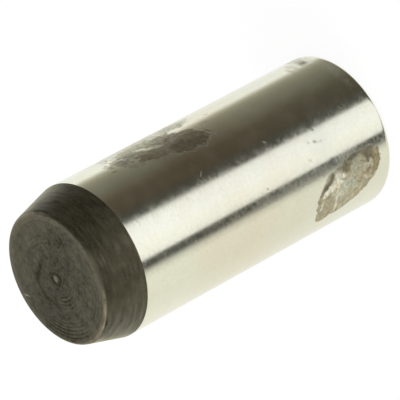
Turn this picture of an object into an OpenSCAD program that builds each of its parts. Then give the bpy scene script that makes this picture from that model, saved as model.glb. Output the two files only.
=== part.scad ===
// Parallel dowel pin, hardened and ground, with a tapered lead at one end.
// Millimetres. The axis is Z, the plain end stands on z = 0, and the lead points up.

/* [Shank] */
// Ground diameter, the size that locates the mating parts
shank_d = 12; // [8:0.5:25]
// Overall length, from end face to end face
pin_l = 28; // [16:1:120]
// Radius that breaks the edge of the plain end
plain_edge_r = 0.4; // [0.1:0.05:0.8]

/* [Lead end] */
// Length of the tapered lead along the axis
lead_l = 3.2; // [1.5:0.1:5]
// Angle between the side of the lead and the axis
lead_angle = 15; // [10:1:20]
// Radius between the side of the lead and its end face
lead_edge_r = 0.3; // [0.1:0.05:0.5]

/* [Facing pip] */
// Diameter of the pip that the facing tool leaves at the centre of the lead's end face
pip_d = 0.55; // [0.3:0.05:1]
// Width of the tool groove round the pip
pip_groove_w = 0.35; // [0.2:0.05:0.5]
// Depth of that groove, which leaves the top of the pip level with the end face
pip_groove_h = 0.06; // [0.02:0.01:0.1]

/* [Hidden] */

// Segments of a full turn; the arcs of the section are true circles
$fn = 96;

shank_r = shank_d / 2;

// Height of the shoulder, where the ground shank ends and the lead begins
shank_l = pin_l - lead_l;

// Radius at which the side of the lead would meet its end face if the edge were sharp
face_r = shank_r - lead_l * tan(lead_angle);

// Centre and arc of the groove round the pip: the arc spans the groove's width at the end face
pip_groove_at = (pip_d + pip_groove_w) / 2;
pip_groove_r = (pow(pip_groove_w / 2, 2) + pow(pip_groove_h, 2)) / (2 * pip_groove_h);

// Direction of a vector, at length 1
function unit(v) = v / norm(v);

// A section whose corner number i is rounded to radius r. The polygon stops at the two points
// where the arc meets the corner's sides, and the circle fills the edge between them.
module rounded_section(points, i, r) {
    corner = points[i];
    to_last = unit(points[i - 1] - corner);
    to_next = unit(points[i + 1] - corner);
    half_angle = acos(to_last * to_next) / 2;
    reach = r / tan(half_angle);
    polygon([
        for (k = [0 : len(points) - 1])
            each k == i ? [corner + reach * to_last, corner + reach * to_next] : [points[k]]
    ]);
    translate(corner + unit(to_last + to_next) * r / sin(half_angle))
        circle(r);
}

// Ground cylinder with a rounded edge at its foot
module shank() {
    color("gainsboro")
        rotate_extrude()
            rounded_section(
                [[0, 0], [shank_r, 0], [shank_r, shank_l], [0, shank_l]],
                1,
                plain_edge_r
            );
}

// Lead left black by the hardening: a taper, a rounded edge and a faced end with its pip
module lead() {
    color("darkslategray")
        rotate_extrude()
            difference() {
                rounded_section(
                    [[0, shank_l], [shank_r, shank_l], [face_r, pin_l], [0, pin_l]],
                    2,
                    lead_edge_r
                );
                translate([pip_groove_at, pin_l + pip_groove_r - pip_groove_h])
                    circle(pip_groove_r);
            }
}

// The whole pin is one turned piece
module dowel_pin() {
    shank();
    lead();
}

dowel_pin();
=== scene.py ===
"""A hardened and ground dowel pin with a black tapered lead, standing on its plain end.

The pin is one turned piece, so it has one skin: the section of the solid turned about the axis Z.
The marks of its making and its use lie in that skin as small changes of height, and as values on
its points that the finishes read. Azimuth 0 faces -Y and azimuth 90 faces +X.
"""

import logging
import math
from dataclasses import dataclass, field
from enum import Enum

import bpy
import numpy as np
from mathutils import Matrix, Vector


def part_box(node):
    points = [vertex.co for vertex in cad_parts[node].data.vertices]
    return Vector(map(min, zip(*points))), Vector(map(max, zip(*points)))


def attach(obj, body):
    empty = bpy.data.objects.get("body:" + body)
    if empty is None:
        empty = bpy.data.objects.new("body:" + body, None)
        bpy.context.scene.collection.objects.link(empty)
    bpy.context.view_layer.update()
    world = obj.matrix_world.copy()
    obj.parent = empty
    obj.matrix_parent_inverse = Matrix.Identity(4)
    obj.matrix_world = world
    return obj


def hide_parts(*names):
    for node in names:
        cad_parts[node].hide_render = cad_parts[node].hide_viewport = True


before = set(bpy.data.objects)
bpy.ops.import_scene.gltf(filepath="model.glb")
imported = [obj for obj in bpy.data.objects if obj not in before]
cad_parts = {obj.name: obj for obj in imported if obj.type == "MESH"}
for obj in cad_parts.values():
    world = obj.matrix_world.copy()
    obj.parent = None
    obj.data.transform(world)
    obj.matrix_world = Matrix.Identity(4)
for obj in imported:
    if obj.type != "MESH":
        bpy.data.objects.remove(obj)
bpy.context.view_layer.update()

MM = 0.001
NODE = "dowel_pin"
BODY = "root"
BAKE_MAP = "OFBake"
SIDE_MAP = "round_side"

Array = np.ndarray
Colour = tuple[float, float, float]
Pair = tuple[float, float]
Socket = bpy.types.NodeSocket
Value = float | Socket
Paint = Colour | Socket

WHITE = (1.0, 1.0, 1.0)

# How finely a graded row adds up its density, and how far a stretch fades, as a share of the row
GRADING_PLACES = 4001
GRADING_FADE = 0.03

# The flat layout's width that the strip of the side takes, and the height of the band of the discs
STRIP_WIDTH = 0.93
DISC_BAND = 0.285

# Most of the range of a noise node, and the middle of it
NOISE_RANGE = (0.3, 0.7)
NOISE_MIDDLE = (0.35, 0.65)

# The share of a scratch's half sizes within which it is full
SCRATCH_CORE = 0.2

log = logging.getLogger("dowel_pin")


# ---------------------------------------------------------------- shapes of numbers


def smooth_step(low: float, high: float, x: Array) -> Array:
    """A ramp from 0 at low to 1 at high with flat ends: 3t^2 - 2t^3, where t runs from 0 to 1.

    Args:
        low: Where the ramp leaves 0.
        high: Where the ramp reaches 1.
        x: Places to work it out at.

    Returns:
        The ramp's height at each place.
    """
    t = np.clip((x - low) / (high - low), 0.0, 1.0)
    return t * t * (3.0 - 2.0 * t)


def window(low: float, high: float, fade: float, x: Array) -> Array:
    """1 from low to high, falling to 0 within fade outside them.

    Args:
        low: Start of the full stretch.
        high: End of the full stretch.
        fade: Width of the ramp on either side.
        x: Places to work it out at.

    Returns:
        The window's height at each place.
    """
    return smooth_step(low - fade, low, x) * (1.0 - smooth_step(high, high + fade, x))


def lerp(low: Array, high: Array, share: Array) -> Array:
    """The value that lies the given share of the way from low to high."""
    return low + (high - low) * share


class Lattice:
    """Smooth seeded noise: random heights on a square lattice that repeats, blended between points."""

    def __init__(self, seed: int, columns: int = 64, rows: int = 64) -> None:
        """Draws the heights.

        Args:
            seed: Seed of the draw, so that each run gives the same lattice.
            columns: Cells before the noise repeats along its first direction.
            rows: Cells before it repeats along its second.
        """
        self.columns = columns
        self.rows = rows
        self.heights = np.random.default_rng(seed).uniform(-1.0, 1.0, (rows, columns))

    def at(self, u: Array, v: Array) -> Array:
        """Noise between -1 and 1: the four nearest heights, blended by 3t^2 - 2t^3 in u and in v.

        Args:
            u: Places along the first direction, in cells.
            v: Places along the second direction, in cells.

        Returns:
            The noise at each place.
        """
        left, below = np.floor(u), np.floor(v)
        across = smooth_step(0.0, 1.0, u - left)
        up = smooth_step(0.0, 1.0, v - below)
        i, j = left.astype(int), below.astype(int)
        i0, i1 = i % self.columns, (i + 1) % self.columns
        j0, j1 = j % self.rows, (j + 1) % self.rows
        low = lerp(self.heights[j0, i0], self.heights[j0, i1], across)
        high = lerp(self.heights[j1, i0], self.heights[j1, i1], across)
        return lerp(low, high, up)

    def layered(self, u: Array, v: Array, layers: int = 3) -> Array:
        """Layers of the noise, each twice as fine and half as strong as the one before.

        Args:
            u: Places along the first direction, in cells of the coarsest layer.
            v: Places along the second direction, in the same cells.
            layers: How many layers are added up.

        Returns:
            Noise between -1 and 1.
        """
        total = sum(self.at(u * 2**k, v * 2**k) / 2**k for k in range(layers))
        return total / (2.0 - 2.0 ** (1 - layers))


@dataclass(frozen=True)
class Unevenness:
    """Layered noise at flat places: its seed, the side of its cell, and where it starts, in cells."""

    seed: int
    cell: float
    start: tuple[float, float]
    layers: int = 3

    def at(self, x: Array, y: Array) -> Array:
        """The noise of a lattice whose cells have the given side.

        Args:
            x: Places across, in the cell's unit.
            y: Places up, in the same unit.

        Returns:
            Noise between -1 and 1.
        """
        u, v = x / self.cell + self.start[0], y / self.cell + self.start[1]
        return Lattice(self.seed).layered(u, v, self.layers)


@dataclass(frozen=True)
class TurnedNoise:
    """Noise round a turned piece: its seed, its cells in a turn, and its step along the section."""

    seed: int
    cells: int
    step: float
    rows: int = 128

    def at(self, turns: Array, run: Array) -> Array:
        """Two layers of noise in whole cells round the piece, so that it has no seam.

        Args:
            turns: Places round the piece, in turns.
            run: Places along the section, in the step's unit.

        Returns:
            Noise between -1 and 1.
        """
        lattice = Lattice(self.seed, columns=self.cells, rows=self.rows)
        return lattice.layered(turns * self.cells, run / self.step, 2)


@dataclass(frozen=True)
class Band:
    """A change along a band of azimuths: full from start to end, and gone within fade beside them."""

    start: float
    end: float
    fade: float
    change: float = 1.0

    def at(self, azimuth: Array) -> Array:
        """The change at each azimuth, in degrees."""
        return self.change * window(self.start, self.end, self.fade, azimuth)


def banded(bands: tuple[Band, ...], azimuth: Array) -> Array:
    """The sum of the bands' changes at each azimuth, in degrees."""
    return sum(band.at(azimuth) for band in bands)


@dataclass(frozen=True)
class Stretch:
    """A stretch of a row of places in which they lie closer together."""

    start: float
    end: float
    spacing: float


def graded(start: float, end: float, spacing: float, stretches: tuple[Stretch, ...] = ()) -> Array:
    """Places from start to end, closer together inside the stretches.

    The density is 1 / spacing, and it rises to 1 / stretch.spacing in each stretch, fading beside
    it over a small share of the whole. The places are even in the running total of the density,
    so the spacing changes smoothly.

    Args:
        start: First place.
        end: Last place.
        spacing: Spacing outside the stretches.
        stretches: Where the places lie closer together, and how close.

    Returns:
        The places, in rising order.
    """
    x = np.linspace(start, end, GRADING_PLACES)
    density = np.full_like(x, 1.0 / spacing)
    fade = GRADING_FADE * (end - start)
    for stretch in stretches:
        inside = window(stretch.start, stretch.end, fade, x)
        density = np.maximum(density, lerp(1.0 / spacing, 1.0 / stretch.spacing, inside))
    steps = (density[1:] + density[:-1]) / 2.0 * np.diff(x)
    total = np.concatenate([[0.0], np.cumsum(steps)])
    count = max(1, round(total[-1]))
    return np.interp(np.linspace(0.0, total[-1], count + 1), total, x)


# ---------------------------------------------------------------- marks on the skin


@dataclass(frozen=True)
class Oval:
    """An oval mark with a soft, uneven outline. Lengths are in millimetres.

    On the side of the pin, across is the azimuth in degrees and up is the height above the plain
    end. On the end face they are X and Y in millimetres. The long axis leans from up towards
    across by lean degrees.
    """

    across: float
    up: float
    long: float
    short: float
    lean: float = 0.0
    tint: Colour = (0.3, 0.3, 0.3)
    strength: float = 1.0
    rise: float = 0.0
    soft: float = 0.35
    ragged: float = 0.25

    def distance(self, x: Array, y: Array, uneven: Array, across_scale: float = 1.0) -> Array:
        """How far out each place is: 0 at the centre and 1 on the outline, plus the unevenness.

        The place is turned into the oval's own axes and divided by its half lengths.

        Args:
            x: Places across, in millimetres.
            y: Places up, in millimetres.
            uneven: Noise between -1 and 1 at those places.
            across_scale: Millimetres for one unit of the field across.

        Returns:
            The distance at each place.
        """
        dx, dy = x - self.across * across_scale, y - self.up
        turn = math.radians(self.lean)
        along = dx * math.sin(turn) + dy * math.cos(turn)
        aside = dx * math.cos(turn) - dy * math.sin(turn)
        return np.hypot(along / (self.long / 2.0), aside / (self.short / 2.0)) + self.ragged * uneven

    def weight(self, x: Array, y: Array, uneven: Array, across_scale: float = 1.0) -> Array:
        """How strongly the mark covers each place: its strength inside, 0 outside, soft between.

        Args:
            x: Places across, in millimetres.
            y: Places up, in millimetres.
            uneven: Noise between -1 and 1 at those places.
            across_scale: Millimetres for one unit of the field across.

        Returns:
            Weights between 0 and the strength.
        """
        d = self.distance(x, y, uneven, across_scale)
        return self.strength * (1.0 - smooth_step(1.0 - self.soft, 1.0 + self.soft, d))


@dataclass(frozen=True)
class Stain:
    """A dried film on the shank, or a painted reflection laid like one: the ovals that it fills, the tint of
    its rim, and its marks.
    """

    shapes: tuple[Oval, ...]
    tint: Colour
    rim_tint: Colour
    rim_width: float = 0.25
    rise: float = 0.0
    marks: tuple[Oval, ...] = ()


FLAKE = (0.70, 0.68, 0.55)
DARK_BROWN = (0.13, 0.107, 0.06)

# The dried drop low on the front: ochre at the ends, grey-green inside, dark along its right edge
DROP_STAIN = Stain(
    shapes=(
        Oval(-41.6, 4.5, 7.1, 3.75, lean=-22, soft=0.07, ragged=0.10),
        Oval(-55.0, 6.75, 2.2, 1.7, lean=-35, soft=0.1, ragged=0.1),
        Oval(-33.4, 6.5, 1.9, 0.7, lean=-42, soft=0.25, ragged=0.45),
        Oval(-42.5, 7.3, 1.8, 0.8, lean=-62, soft=0.25, ragged=0.45),
    ),
    tint=(0.42, 0.39, 0.275),
    rim_tint=(0.35, 0.315, 0.205),
    rise=0.0008,
    marks=(
        Oval(-56.0, 6.9, 2.6, 2.2, tint=(0.36, 0.32, 0.205), soft=0.7, ragged=0.5),
        Oval(-49.0, 6.7, 1.4, 1.4, tint=(0.36, 0.32, 0.21), strength=0.8, soft=0.6, ragged=0.6),
        Oval(-53.0, 4.8, 2.2, 1.0, lean=60, tint=(0.34, 0.32, 0.235), soft=0.6, ragged=0.7),
        Oval(-48.5, 4.3, 1.3, 0.9, tint=(0.36, 0.34, 0.24), strength=0.8, soft=0.6, ragged=0.7),
        Oval(-43.5, 5.4, 1.8, 1.2, lean=30, tint=(0.55, 0.53, 0.405), soft=0.7, ragged=0.6),
        Oval(-40.0, 4.1, 2.6, 1.4, lean=-20, tint=(0.42, 0.42, 0.315), strength=0.8, soft=0.7),
        Oval(-50.0, 3.7, 3.0, 1.1, lean=-35, tint=(0.43, 0.395, 0.265), soft=0.7, ragged=0.6),
        Oval(-43.0, 3.0, 1.5, 1.0, lean=-30, tint=(0.375, 0.335, 0.22), soft=0.6, ragged=0.7),
        Oval(-40.0, 1.9, 2.2, 0.8, lean=-60, tint=(0.40, 0.35, 0.22), soft=0.5, ragged=0.6),
        Oval(-31.5, 1.6, 2.6, 1.2, lean=95, tint=(0.285, 0.24, 0.13), strength=0.9, ragged=0.6),
        Oval(-30.0, 3.6, 1.2, 1.1, tint=(0.40, 0.385, 0.285), soft=0.6, ragged=0.6),
        Oval(-27.0, 2.4, 1.7, 0.8, lean=60, tint=(0.17, 0.14, 0.07), strength=0.9, ragged=0.6),
        Oval(-31.0, 4.55, 1.6, 0.75, lean=100, tint=(0.24, 0.205, 0.12), strength=0.9, ragged=0.8),
        Oval(-28.2, 4.75, 1.0, 0.8, lean=90, tint=(0.17, 0.14, 0.075), strength=0.9, ragged=0.7),
        Oval(-24.2, 5.3, 1.3, 0.55, lean=-34, tint=(0.24, 0.205, 0.13), ragged=0.7),
        Oval(-22.2, 3.7, 1.8, 0.50, lean=-9, tint=DARK_BROWN, ragged=0.6),
        Oval(-21.9, 2.4, 1.2, 0.55, lean=20, tint=(0.16, 0.13, 0.07), ragged=0.7),
        Oval(-43.0, 7.45, 1.6, 0.32, lean=-62, tint=(0.23, 0.205, 0.14), strength=0.8, ragged=0.8),
        Oval(-51.0, 7.8, 0.9, 0.30, lean=85, tint=(0.28, 0.25, 0.17), strength=0.7, ragged=0.9),
        Oval(-36.2, 6.75, 1.1, 0.5, lean=-40, tint=(0.20, 0.172, 0.11), ragged=0.9, rise=0.004),
        Oval(-36.4, 6.8, 0.6, 0.3, lean=-30, tint=DARK_BROWN, ragged=0.9),
        Oval(-31.6, 6.2, 0.9, 0.38, lean=-55, tint=(0.19, 0.162, 0.10), ragged=0.9, rise=0.003),
        Oval(-38.6, 2.4, 0.5, 0.4, tint=(0.25, 0.175, 0.125), strength=0.8, ragged=0.7),
        Oval(-43.6, 2.75, 0.6, 0.3, lean=40, tint=(0.55, 0.47, 0.34), strength=0.9, ragged=0.7),
        Oval(-28.0, 1.55, 0.6, 0.35, lean=70, tint=(0.42, 0.37, 0.22), strength=0.9, ragged=0.7),
        Oval(-34.5, 2.1, 0.7, 0.28, lean=70, tint=(0.54, 0.50, 0.37), strength=0.9, ragged=0.7),
        Oval(-34.2, 2.7, 0.9, 0.20, lean=10, tint=(0.50, 0.47, 0.36), strength=0.8, ragged=0.7),
        Oval(-43.2, 6.6, 1.1, 0.34, lean=-25, tint=(0.27, 0.235, 0.15), strength=0.8, ragged=0.9, soft=0.2),
        Oval(-40.0, 5.75, 1.0, 0.26, lean=-30, tint=(0.29, 0.255, 0.165), strength=0.8, ragged=0.9, soft=0.2),
        Oval(-37.6, 5.45, 0.5, 0.30, tint=(0.26, 0.23, 0.15), strength=0.8, ragged=0.9, soft=0.2),
        Oval(-33.8, 6.3, 0.5, 0.2, lean=-45, tint=(0.19, 0.16, 0.10), ragged=0.9, soft=0.3),
        Oval(-48.2, 7.25, 0.9, 0.30, lean=-75, tint=(0.60, 0.57, 0.43), ragged=0.9, soft=0.15),
        Oval(-52.5, 5.75, 1.9, 0.24, lean=95, tint=(0.62, 0.55, 0.42), strength=0.9, ragged=0.6),
        Oval(-36.5, 5.2, 1.8, 1.0, lean=-15, tint=(0.54, 0.52, 0.41), strength=0.8, ragged=0.9, soft=0.5),
        Oval(-41.0, 6.95, 0.9, 0.46, lean=-40, tint=FLAKE, ragged=0.8, rise=0.004, soft=0.15),
        Oval(-38.8, 6.25, 1.2, 0.60, lean=-20, tint=FLAKE, ragged=0.9, rise=0.004, soft=0.15),
        Oval(-35.2, 5.6, 1.2, 0.80, lean=-38, tint=FLAKE, ragged=0.9, rise=0.004, soft=0.15),
        Oval(-31.6, 5.45, 1.0, 0.50, lean=60, strength=0.85, tint=FLAKE, ragged=0.9, rise=0.004, soft=0.15),
        Oval(-36.0, 5.0, 0.9, 0.10, lean=22, tint=(0.24, 0.22, 0.16), strength=0.8, ragged=0.5),
        Oval(-29.6, 3.1, 0.7, 0.14, lean=35, tint=(0.26, 0.235, 0.17), strength=0.8, ragged=0.5),
    ),
)

# The grime high on the front: two dark cores in a thin film with ragged tails
GRIME_STAIN = Stain(
    shapes=(
        Oval(46.1, 15.45, 4.3, 2.3, lean=4, ragged=0.5, soft=0.3),
        Oval(55.0, 14.5, 1.8, 0.9, lean=20, strength=0.8, ragged=0.6, soft=0.5),
        Oval(50.5, 18.2, 3.4, 1.7, lean=24, ragged=0.7, soft=0.45),
        Oval(57.0, 16.4, 3.4, 2.0, lean=-5, ragged=0.6, soft=0.35),
        Oval(66.0, 18.1, 6.2, 2.5, lean=4, strength=0.82, ragged=0.7, soft=0.6),
        Oval(56.0, 20.35, 2.8, 1.5, lean=30, strength=0.66, ragged=1.0, soft=0.6),
        Oval(73.5, 14.4, 3.6, 2.0, strength=0.64, ragged=0.4, soft=0.6),
        Oval(68.0, 13.9, 1.2, 0.5, lean=-50, strength=0.7, ragged=0.4, soft=0.5),
        Oval(76.5, 17.6, 10.0, 2.4, strength=0.56, ragged=0.5, soft=0.8),
        Oval(51.5, 13.0, 3.4, 1.6, strength=0.34, ragged=0.8, soft=0.8),
        Oval(49.5, 20.2, 2.2, 1.5, lean=20, strength=0.6, ragged=1.0, soft=0.6),
        Oval(54.5, 12.8, 1.7, 0.5, lean=14, strength=0.5, ragged=0.8, soft=0.5),
    ),
    tint=(0.22, 0.195, 0.13),
    rim_tint=(0.15, 0.13, 0.085),
    rise=0.0008,
    marks=(
        Oval(76.0, 17.0, 14.0, 3.6, tint=(0.45, 0.44, 0.32), soft=0.35, ragged=0.5),
        Oval(50.0, 16.2, 6.4, 2.4, lean=8, tint=(0.19, 0.165, 0.105), soft=0.5, ragged=0.9),
        Oval(54.5, 16.2, 3.6, 1.2, lean=-8, tint=(0.24, 0.215, 0.15), soft=0.6, ragged=0.9),
        Oval(61.5, 16.4, 1.6, 1.2, lean=60, tint=(0.30, 0.265, 0.185), soft=0.6, ragged=0.9),
        Oval(59.0, 19.4, 2.6, 0.9, lean=20, tint=(0.26, 0.25, 0.175), soft=0.6, ragged=0.9),
        Oval(43.6, 15.2, 3.6, 1.65, lean=4, tint=(0.125, 0.10, 0.055), ragged=0.7, rise=0.002),
        Oval(48.0, 14.6, 2.2, 0.7, lean=16, tint=(0.17, 0.145, 0.085), strength=0.9, ragged=0.8),
        Oval(48.0, 18.7, 1.3, 0.7, lean=20, tint=(0.17, 0.145, 0.09), ragged=0.9, rise=0.002),
        Oval(53.3, 19.2, 0.9, 0.35, lean=10, tint=(0.16, 0.14, 0.09), strength=0.9, ragged=0.9),
        Oval(47.0, 17.3, 1.5, 0.6, lean=70, tint=(0.22, 0.205, 0.145), strength=0.8, ragged=0.9),
        Oval(56.5, 16.3, 1.0, 0.32, lean=-30, tint=(0.14, 0.12, 0.075), strength=0.8, ragged=0.9),
        Oval(55.0, 19.9, 1.3, 0.50, lean=60, tint=(0.15, 0.13, 0.085), strength=0.9, ragged=0.9),
        Oval(57.0, 20.4, 1.2, 0.60, lean=30, tint=(0.16, 0.138, 0.09), strength=0.9, ragged=0.9),
        Oval(63.5, 21.4, 0.9, 0.5, lean=20, tint=(0.34, 0.335, 0.25), strength=0.9, ragged=0.6),
        Oval(54.5, 12.8, 1.5, 0.4, lean=14, tint=(0.17, 0.15, 0.10), ragged=0.8),
        Oval(52.5, 15.9, 0.8, 0.35, tint=(0.26, 0.255, 0.20), strength=0.8, ragged=0.9),
        Oval(57.0, 17.6, 1.7, 0.45, lean=30, tint=(0.48, 0.455, 0.355), ragged=0.9, rise=0.003),
        Oval(60.5, 18.3, 1.2, 0.40, lean=40, tint=FLAKE, ragged=0.9, rise=0.003),
        Oval(63.4, 14.9, 1.2, 0.28, tint=(0.82, 0.78, 0.64), strength=0.9),
        Oval(59.0, 14.6, 1.1, 0.24, lean=10, tint=(0.36, 0.33, 0.24), strength=0.7, ragged=0.7),
    ),
)

# The smear beside the plain end
SMEAR_STAIN = Stain(
    shapes=(
        Oval(66.0, 1.55, 1.8, 0.95, lean=115, strength=0.72, soft=0.7),
        Oval(62.5, 3.1, 1.6, 0.7, lean=105, strength=0.48, soft=0.8, ragged=0.6),
        Oval(67.5, 2.5, 2.4, 0.9, lean=100, strength=0.46, soft=0.8, ragged=0.4),
        Oval(44.0, 0.9, 6.0, 1.3, lean=90, strength=0.37, soft=0.8, ragged=0.3),
        Oval(74.0, 1.3, 3.4, 1.7, lean=100, strength=0.56, soft=0.8, ragged=0.5),
    ),
    tint=(0.44, 0.42, 0.34),
    rim_tint=(0.50, 0.48, 0.38),
    rise=0.002,
    marks=(
        Oval(64.2, 1.55, 0.6, 0.4, lean=-40, tint=(0.24, 0.215, 0.15), soft=0.8),
        Oval(62.0, 3.2, 2.0, 1.0, lean=105, tint=(0.50, 0.43, 0.34), soft=0.6),
    ),
)

# A grey film laid along the narrow dark band that the front of the shank reflects, standing in for that
# reflection: painted reflection
PAINTED_REFLECTION_FILM = Stain(
    shapes=(
        Oval(-22.6, 7.5, 22.0, 1.1, strength=0.42, soft=0.8, ragged=0.4),
        Oval(-20.3, 4.6, 3.8, 0.7, strength=0.49, soft=0.8, ragged=0.6),
    ),
    tint=(0.22, 0.22, 0.18),
    rim_tint=(0.22, 0.22, 0.18),
)

STAINS = (DROP_STAIN, GRIME_STAIN, SMEAR_STAIN, PAINTED_REFLECTION_FILM)

# What makes the outlines of the stains uneven, and each one's share
STAIN_UNEVENNESS = (
    (0.45, Unevenness(seed=11, cell=0.8, start=(40.0, 0.0))),
    (0.55, Unevenness(seed=12, cell=0.26, start=(90.0, 0.0), layers=2)),
)

# How much the height of a film follows its outline's unevenness, and a cover too thin to count
FILM_UNEVENNESS = 0.6
LEAST_COVER = 1e-6

# Dark spots in the ground steel: four broad darker brown patches, then small pits and specks
PITS = (
    Oval(39.5, 16.2, 8.0, 2.5, strength=0.30, soft=0.8, ragged=0.4),
    Oval(41.5, 20.8, 4.6, 2.5, strength=0.16, soft=0.8, ragged=0.4),
    Oval(-3.0, 6.2, 1.9, 1.7, strength=0.10, soft=0.9),
    Oval(6.4, 6.1, 1.8, 0.7, strength=0.14, soft=0.9),
    Oval(-14.8, 12.2, 0.24, 0.15, lean=30, strength=0.7),
    Oval(-1.1, 6.65, 0.30, 0.24, lean=30, soft=0.5),
    Oval(-1.9, 6.35, 0.20, 0.16, strength=0.45),
    Oval(-2.9, 6.12, 0.26, 0.18, strength=0.45, soft=0.6),
    Oval(6.9, 6.28, 0.26, 0.18, lean=40, strength=0.9, soft=0.5),
    Oval(0.4, 7.2, 0.24, 0.18, lean=-40, strength=0.45, soft=0.6),
    Oval(51.8, 21.8, 0.42, 0.24, lean=20, strength=0.7, soft=0.6),
    Oval(56.0, 12.7, 0.50, 0.18, lean=20, strength=0.4, soft=0.7),
    Oval(63.0, 11.7, 0.34, 0.18, lean=60, strength=0.45, soft=0.6),
    Oval(-17.6, 5.75, 0.42, 0.26, lean=20, strength=0.5, soft=0.8),
    Oval(-18.4, 5.3, 0.22, 0.16, strength=0.45, soft=0.7),
    Oval(-22.6, 5.55, 0.24, 0.18, strength=0.4, soft=0.7),
    Oval(-26.0, 6.9, 0.30, 0.16, lean=20, strength=0.3, soft=0.8),
    Oval(-11.2, 7.7, 0.28, 0.20, lean=20, strength=0.35, soft=0.7),
    Oval(4.9, 14.3, 0.16, 0.11, strength=0.25),
    Oval(-0.5, 17.6, 0.16, 0.12, strength=0.3),
    Oval(30.8, 6.4, 0.24, 0.18, strength=0.4),
    Oval(-43.0, 10.9, 0.22, 0.15, strength=0.2),
    Oval(-67.0, 15.8, 0.26, 0.18, strength=0.2),
    Oval(118.0, 9.4, 0.30, 0.20, lean=20, strength=0.6),
    Oval(164.0, 19.2, 0.26, 0.18, strength=0.5),
    Oval(-142.0, 13.6, 0.30, 0.22, lean=-30, strength=0.6),
    Oval(-118.0, 4.4, 0.24, 0.18, strength=0.5),
)

# Paler and darker patches in the scale of the lead
SCALE_PATCHES = (
    Oval(64.5, 26.6, 2.2, 1.7, strength=-0.35, soft=0.9),
    Oval(76.0, 25.1, 0.7, 0.9, strength=0.5, soft=0.9),
    Oval(-20.0, 27.0, 1.0, 1.8, strength=0.55, soft=0.9),
    Oval(-13.5, 26.2, 0.9, 0.40, lean=5, strength=0.40, soft=0.7),
    Oval(-1.0, 26.0, 0.45, 0.8, lean=30, strength=0.45, soft=0.8),
    Oval(-4.0, 27.28, 0.18, 0.9, strength=0.8, soft=0.6),
    Oval(-6.0, 27.55, 0.16, 0.7, strength=0.8, soft=0.6),
    Oval(-4.0, 26.92, 0.14, 2.4, strength=0.25, soft=0.6),
    Oval(-14.0, 26.9, 0.24, 0.6, strength=0.4, soft=0.8),
    Oval(0.5, 25.25, 0.7, 0.9, strength=0.45, soft=0.8),
    Oval(-33.0, 25.2, 0.7, 0.9, strength=0.5, soft=0.9),
    Oval(6.0, 26.5, 0.4, 0.9, strength=0.3, soft=0.9),
)

# The lead's grooves, the streaks in its scale, and the patches between them
GROOVES = TurnedNoise(seed=21, cells=24, step=0.26)
STREAKS = TurnedNoise(seed=27, cells=36, step=0.2)
PATCHES = TurnedNoise(seed=22, cells=60, step=0.25, rows=64)

# Where the streaks show more than their least, round the lead: real turning streaks, painted stronger where
# they catch the light
LIT_STREAK_BANDS = (
    Band(-24.0, 6.0, 10.0, 0.25),
    Band(-180.0, -58.0, 24.0, 0.9),
    Band(74.0, 180.0, 20.0, 0.9),
)

# The dark band of painted shade in the lead's scale, which stays even up the lead, and lighter and darker
# bands of painted light and shade round it
PAINTED_SHADE_BAND = Band(26.0, 48.0, 14.0)
PAINTED_LIGHT_AND_SHADE_BANDS = (
    Band(-12.0, 10.0, 8.0, -0.25),
    Band(-180.0, -74.0, 20.0, 0.6),
    Band(-180.0, -86.0, 9.0, -0.9),
    Band(88.0, 180.0, 16.0, 1.2),
    Band(-55.0, -43.0, 9.0, 0.25),
)

# Where the lead's edge is painted lighter than its side, as a painted highlight, and where it is worn to the
# metal
PAINTED_EDGE_HIGHLIGHTS = (
    Band(-9.0, -1.0, 17.0, 1.5),
    Band(9.0, 17.0, 7.0, 0.45),
)
WORN_BANDS = (
    Band(-180.0, -48.0, 40.0),
    Band(-180.0, -72.0, 11.0, -0.5),
    Band(78.0, 180.0, 26.0, 0.6),
)

# Where the shoulder is rubbed bright
SHOULDER_BAND = Band(-13.0, 1.0, 6.0, 0.6)

# Darker patches in the scale of the end face
FACE_PATCHES = (
    Oval(1.15, 1.65, 1.1, 0.5, lean=-34, strength=-0.55, soft=0.7, ragged=0.9),
    Oval(1.7, -1.7, 2.4, 2.4, strength=-0.35, soft=0.9),
    Oval(0.0, -2.1, 1.4, 2.2, strength=-0.18, soft=0.9),
)


@dataclass(frozen=True)
class LeadShades:
    """How strongly each thing lightens the lead's scale, or darkens it below 0, and wears its edge.

    The slope is for each millimetre up the lead from slope_from. A pair says where a change begins
    and where it is full: in the noise for patchy_from, in degrees either way from azimuth 0 for
    behind_from and flanks_from, and in millimetres from the edge's arc for edge_highlight_from. Other
    widths and reaches are in millimetres along the section.
    """

    least_streaks: float = 0.2
    patches: float = 0.12
    slope: float = -0.15
    slope_from: float = 1.6
    # The dark band is painted shade.
    painted_shade_band: float = -0.08
    behind: float = 0.3
    streaks_behind: float = 0.4
    worn_line: float = 0.78
    rubbed: float = 0.35
    worn_behind: float = 0.5
    least_worn: float = 0.6
    patchy_from: Pair = (-0.5, 0.5)
    behind_from: Pair = (100.0, 130.0)
    flanks_from: Pair = (44.0, 66.0)
    # Where the painted highlight on the edge begins and is full
    edge_highlight_from: Pair = (-0.06, 0.24)
    groove_margin: float = 0.2
    groove_fade: float = 0.15
    shoulder_width: float = 0.12
    drift: float = 0.09
    line_before: float = 0.08
    line_past: float = 0.02
    line_fade: float = 0.07
    rubbed_before: float = 0.24
    rubbed_fade: float = 0.16
    rubbed_past: float = 0.26


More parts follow.
